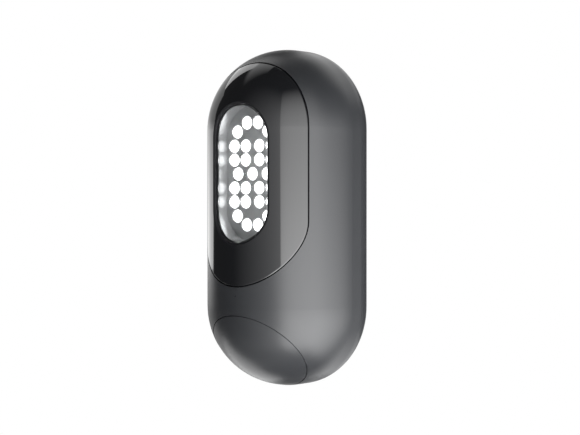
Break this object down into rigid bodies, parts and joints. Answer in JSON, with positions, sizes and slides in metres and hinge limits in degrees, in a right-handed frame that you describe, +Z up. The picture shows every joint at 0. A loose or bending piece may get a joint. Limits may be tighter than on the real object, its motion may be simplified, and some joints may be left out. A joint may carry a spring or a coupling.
{
  "type": "smart floodlight",
  "caption": "Capsule-shaped smart floodlight head: matt housing, glossy front panel, lit window of round lamps, angled motion-sensor dome and a threaded rear mount.",
  "frame": {"origin": "mouth of the threaded mount in the middle of the flat back", "axes": "+Y along the mount, out of the back; +Z up along the body; the lamp shines towards -Y"},
  "size_m": [0.083, 0.064, 0.173],
  "materials": {
    "housing_grey": "fine matt moulding texture, mid grey",
    "panel_black": "high gloss black",
    "window_clear": "clear polished plastic",
    "gasket_black": "matt black",
    "tray_white": "glossy light grey",
    "lamp_board_white": "white solder mask on aluminium",
    "chip_ceramic": "matt white",
    "lamp_light": "lit white silicone dome",
    "pad_grey": "soft grey",
    "cast_aluminium": "as cast, bead blasted",
    "screw_steel": "zinc plated",
    "screw_dark": "blackened",
    "sensor_dark": "dark satin",
    "carrier_black": "matt black",
    "board_green": "green solder mask",
    "can_steel": "bright tin",
    "inlet_steel": "bright steel",
    "pipe_clear": "clear",
    "cover_grey": "fine matt moulding texture, mid grey",
    "membrane_white": "fine white membrane",
    "insert_brass": "machined",
    "chip_black": "matt black",
    "antenna_amber": "amber film",
    "socket_white": "natural white",
    "capacitor_sleeve": "black sleeve",
    "button_dark": "matt black",
    "wire_black": "satin jacket"
  },
  "bodies": {
    "lamp_head": {"housing": "housing_grey", "front_panel": "panel_black", "window_lens": "window_clear", "window_gasket": "gasket_black", "panel_gasket": "gasket_black", "pir_gasket": "gasket_black", "rear_cover_gasket": "gasket_black", "inlet_seal": "gasket_black", "reflector_tray": "tray_white", "led_board": "lamp_board_white", "led_packages": "chip_ceramic", "led_domes": "lamp_light", "thermal_pad": "pad_grey", "heatsink": "cast_aluminium", "heatsink_screws": "screw_steel", "tray_screws": "screw_steel", "pir_carrier_screws": "screw_steel", "pir_board_screws": "screw_steel", "main_board_screws": "screw_steel", "rear_cover_screws": "screw_dark", "pir_lens": "sensor_dark", "pir_carrier": "carrier_black", "pir_board": "board_green", "main_board": "board_green", "pir_sensor": "can_steel", "radio_shield": "can_steel", "power_inlet": "inlet_steel", "status_light_pipe": "pipe_clear", "status_led": "chip_ceramic", "rear_cover": "cover_grey", "vent_membrane": "membrane_white", "mount_insert": "insert_brass", "processor": "chip_black", "driver_inductor": "chip_black", "inlet_tongue": "chip_black", "radio_antenna": "antenna_amber", "led_socket": "socket_white", "pir_socket": "socket_white", "driver_capacitor_1": "capacitor_sleeve", "driver_capacitor_2": "capacitor_sleeve", "reset_switch": "chip_black", "led_harness": "wire_black", "pir_harness": "wire_black"},
    "button": {"reset_button": "button_dark", "switch_plunger": "button_dark"}
  },
  "joints": [
    {"name": "reset_press", "type": "slide", "parent": "lamp_head", "child": "button", "axis": [0, -1, 0], "range_m": [0, 0.0005], "stiffness_N_per_m": 3000, "springref_m": -0.0001}
  ]
}
